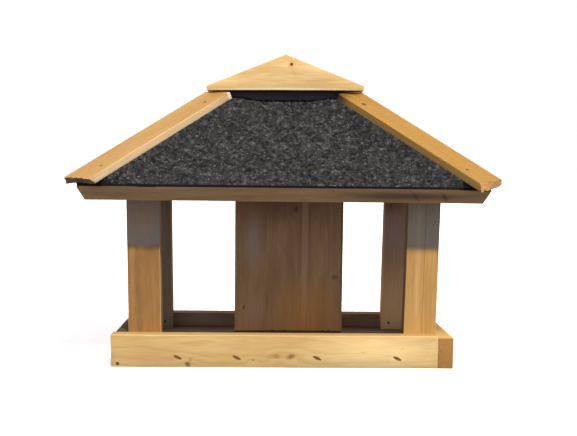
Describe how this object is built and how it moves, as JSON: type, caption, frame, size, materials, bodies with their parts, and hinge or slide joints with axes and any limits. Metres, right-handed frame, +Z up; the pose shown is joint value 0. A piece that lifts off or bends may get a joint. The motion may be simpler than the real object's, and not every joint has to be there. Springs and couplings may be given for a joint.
{
  "type": "bird table",
  "caption": "Table-top wooden bird table: raised-edge feeding tray, corner posts and a centre wall carrying a felted hipped roof with hip boards and a triangular ridge cap.",
  "frame": {"origin": "middle of the underside of the tray, on the surface that the table stands on", "axes": "+X to the right along the tray, +Y from the front to the rear, +Z up"},
  "size_m": [0.5666, 0.3122, 0.422],
  "materials": {
    "tray_wood": "stained sawn softwood, matte",
    "post_wood": "stained sawn softwood, matte",
    "wall_wood": "stained sawn softwood, matte",
    "roof_wood": "stained sawn softwood, matte",
    "hip_wood": "stained sawn softwood, matte",
    "cap_wood": "stained planed softwood, matte",
    "roof_felt": "mineral-granule roofing felt, rough",
    "nail_steel": "dull bright wire nail",
    "staple_steel": "dull galvanised staple"
  },
  "bodies": {
    "root": {"cap_board_front": "cap_wood", "cap_board_rear": "cap_wood", "cap_nails": "nail_steel", "floor_board_1": "tray_wood", "floor_board_2": "tray_wood", "floor_board_3": "tray_wood", "floor_board_4": "tray_wood", "floor_staples": "staple_steel", "hip_board_front_left": "hip_wood", "hip_board_front_right": "hip_wood", "hip_board_rear_left": "hip_wood", "hip_board_rear_right": "hip_wood", "hip_nails": "nail_steel", "post_front_left": "post_wood", "post_front_right": "post_wood", "post_nails": "nail_steel", "post_rear_left": "post_wood", "post_rear_right": "post_wood", "ridge_batten": "roof_wood", "roof_board_front_lower": "roof_wood", "roof_board_front_upper": "roof_wood", "roof_board_left_lower": "roof_wood", "roof_board_left_upper": "roof_wood", "roof_board_rear_lower": "roof_wood", "roof_board_rear_upper": "roof_wood", "roof_board_right_lower": "roof_wood", "roof_board_right_upper": "roof_wood", "roof_felt_front": "roof_felt", "roof_felt_left": "roof_felt", "roof_felt_rear": "roof_felt", "roof_felt_right": "roof_felt", "roof_nails": "nail_steel", "tray_corner_nails": "nail_steel", "tray_front_rail": "tray_wood", "tray_left_rail": "tray_wood", "tray_rear_rail": "tray_wood", "tray_right_rail": "tray_wood", "wall_board_1": "wall_wood", "wall_board_2": "wall_wood", "wall_board_3": "wall_wood", "wall_board_4": "wall_wood", "wall_nails": "nail_steel"}
  },
  "joints": []
}
